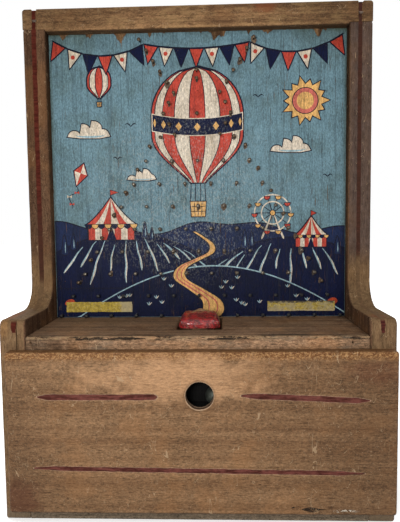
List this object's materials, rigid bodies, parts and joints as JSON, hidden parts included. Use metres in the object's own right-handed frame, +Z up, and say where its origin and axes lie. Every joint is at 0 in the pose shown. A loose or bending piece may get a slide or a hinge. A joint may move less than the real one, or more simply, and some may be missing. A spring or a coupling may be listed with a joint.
{
  "type": "bagatelle board game",
  "caption": "Upright wooden tabletop bagatelle with a nailed pin playfield, a sprung flipper key in a slotted shelf, loose steel balls and a round ball mouth in the front panel.",
  "frame": {"origin": "on the ground plane, at the centre of the case's footprint", "axes": "+X to the player's right, +Y from the player to the back of the case, +Z up"},
  "size_m": [0.3362, 0.14, 0.4635],
  "materials": {
    "case_wood": "worn waxed board with rubbed edges",
    "shelf_wood": "bare, stained and scratched board",
    "panel_wood": "varnished board with fine scratches",
    "playfield_paint": "matt paint worn through to the grain",
    "inner_wood": "unfinished sawn softwood",
    "lever_wood": "bare hardwood, handled",
    "key_paint": "glossy enamel, chipped",
    "label_paper": "torn and yellowed paper",
    "pin_steel": "dulled wire nails",
    "nail_steel": "dark, rust-spotted",
    "screw_steel": "dulled",
    "axle_steel": "drawn rod",
    "spring_steel": "blued strip",
    "play_ball_steel": "browned with age",
    "tray_ball_steel": "dull grey"
  },
  "bodies": {
    "cabinet": {"back_screws": "screw_steel", "base_back_panel": "inner_wood", "bearing_block_left": "inner_wood", "bearing_block_right": "inner_wood", "bearing_screws": "screw_steel", "bottom_board": "inner_wood", "bottom_nails": "nail_steel", "cleat_brads": "nail_steel", "fence_pins": "pin_steel", "field_pins": "pin_steel", "front_panel": "panel_wood", "funnel_pins": "pin_steel", "leaf_spring": "spring_steel", "panel_brads": "nail_steel", "paper_label_left": "label_paper", "paper_label_right": "label_paper", "pivot_axle": "axle_steel", "playfield_board": "playfield_paint", "playfield_brads": "nail_steel", "playfield_cleat_left": "inner_wood", "playfield_cleat_right": "inner_wood", "pocket_pins": "pin_steel", "rail_nails": "nail_steel", "shelf_board": "shelf_wood", "shelf_nails": "nail_steel", "side_panel_left": "case_wood", "side_panel_right": "case_wood", "spring_block": "inner_wood", "spring_screws": "screw_steel", "throat_pins": "pin_steel", "top_rail": "case_wood", "tray_back": "inner_wood", "tray_brads": "nail_steel", "tray_end_left": "inner_wood", "tray_end_right": "inner_wood", "tray_floor": "inner_wood"},
    "flipper": {"flipper_lever": "lever_wood", "flipper_key": "key_paint", "stop_dowel": "lever_wood", "key_screws": "screw_steel"},
    "play_ball": {"ball_in_play": "play_ball_steel"},
    "tray_ball": {"ball_in_tray": "tray_ball_steel"}
  },
  "joints": [
    {"name": "flipper_press", "type": "hinge", "parent": "cabinet", "child": "flipper", "pos_m": [0.0017, -0.044, 0.139], "axis": [-1, 0, 0], "range_deg": [0, 8], "stiffness_Nm_per_rad": 1.5, "springref_deg": -8.59, "deforming": ["leaf_spring"]},
    {"name": "ball_lift", "type": "slide", "parent": "flipper", "child": "play_ball", "axis": [0, 0, 1], "range_m": [0, 0.015]},
    {"name": "tray_ball_roll", "type": "slide", "parent": "cabinet", "child": "tray_ball", "axis": [1, 0, 0], "range_m": [-0.0335, 0.009]}
  ]
}
